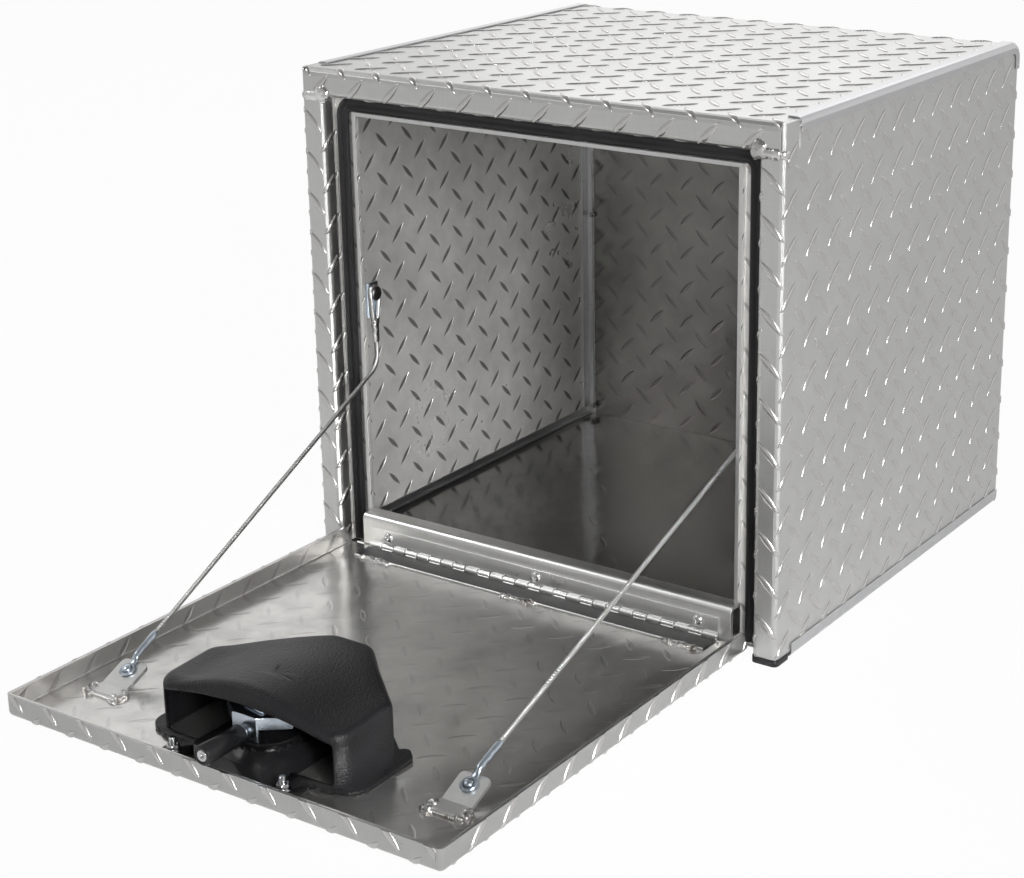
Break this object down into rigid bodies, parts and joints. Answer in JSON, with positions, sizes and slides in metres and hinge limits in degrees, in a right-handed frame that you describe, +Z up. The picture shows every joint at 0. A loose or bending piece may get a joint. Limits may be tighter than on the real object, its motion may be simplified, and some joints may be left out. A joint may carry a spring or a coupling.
{
  "type": "underbody truck tool box",
  "caption": "Square tread-plate tool box for under a truck bed, with a drop-down door on cables and a folding T-handle latch.",
  "frame": {"origin": "middle of the box's flat underside, on the plane it stands on", "axes": "+X to the right seen from the front, -Y out of the door opening, +Z up"},
  "size_m": [0.4572, 0.8074, 0.4254],
  "materials": {
    "tread_plate": "bright mill-finish plate with raised tread bars",
    "corner_extrusion": "satin",
    "bright_steel": "bright",
    "zinc_plated_steel": "blue-white zinc plating",
    "black_rubber": "matt",
    "moulded_plastic": "satin moulded",
    "black_cast_dish": "black powder coat"
  },
  "bodies": {
    "box": {"top_panel": "tread_plate", "left_side_panel": "tread_plate", "right_side_panel": "tread_plate", "rear_panel": "tread_plate", "bottom_panel": "tread_plate", "top_corner_left": "corner_extrusion", "top_corner_right": "corner_extrusion", "bottom_corner_left": "corner_extrusion", "bottom_corner_right": "corner_extrusion", "rear_corner_left": "corner_extrusion", "rear_corner_right": "corner_extrusion", "bulb_seal": "black_rubber", "sill_rail": "tread_plate", "hinge_box_leaf": "bright_steel", "hinge_pin": "bright_steel", "sill_screw_left": "bright_steel", "sill_screw_middle": "bright_steel", "sill_screw_right": "bright_steel", "jamb_foot_left": "black_rubber", "jamb_foot_right": "black_rubber", "cable_anchor_left": "zinc_plated_steel", "cable_anchor_right": "zinc_plated_steel", "anchor_pin_left": "zinc_plated_steel", "anchor_pin_right": "zinc_plated_steel", "cable_loop_left": "bright_steel", "cable_loop_right": "bright_steel", "cable_left": "bright_steel", "cable_right": "bright_steel"},
    "door": {"door_pan": "tread_plate", "hinge_door_leaf": "bright_steel", "door_bracket_left": "corner_extrusion", "door_bracket_right": "corner_extrusion", "door_rivet_left": "zinc_plated_steel", "door_rivet_right": "zinc_plated_steel", "door_eye_left": "zinc_plated_steel", "door_eye_right": "zinc_plated_steel", "latch_dish": "black_cast_dish", "latch_gasket": "black_rubber", "latch_cover": "moulded_plastic", "cover_stud_left": "bright_steel", "cover_stud_right": "bright_steel", "cover_nut_left": "bright_steel", "cover_nut_right": "bright_steel"},
    "latch": {"latch_spindle": "zinc_plated_steel", "latch_arm": "zinc_plated_steel", "cam_plate": "zinc_plated_steel", "arm_nut": "zinc_plated_steel", "roller_bolt": "bright_steel", "roller_nut": "bright_steel", "handle_pin": "bright_steel"},
    "roller": {"latch_roller": "black_rubber"},
    "t_handle": {"t_handle": "zinc_plated_steel"},
    "lock": {"lock_plug": "bright_steel"}
  },
  "joints": [
    {"name": "door_hinge", "type": "hinge", "parent": "box", "child": "door", "pos_m": [0, -0.20815, 0.0125], "axis": [-1, 0, 0], "range_deg": [0, 85], "deforming": ["cable_left", "cable_right"]},
    {"name": "latch_turn", "type": "hinge", "parent": "door", "child": "latch", "pos_m": [0, -0.53255, 0.03], "axis": [0, 0, 1], "range_deg": [0, 90]},
    {"name": "roller_spin", "type": "hinge", "parent": "latch", "child": "roller", "pos_m": [0, -0.57555, 0.0338], "axis": [0, 1, 0], "continuous": true},
    {"name": "handle_fold", "type": "hinge", "parent": "latch", "child": "t_handle", "pos_m": [0, -0.53255, 0.0093], "axis": [-1, 0, 0], "range_deg": [0, 90]},
    {"name": "lock_turn", "type": "hinge", "parent": "t_handle", "child": "lock", "pos_m": [0, -0.50805, 0.0093], "axis": [0, 0, 1], "range_deg": [0, 90]}
  ]
}
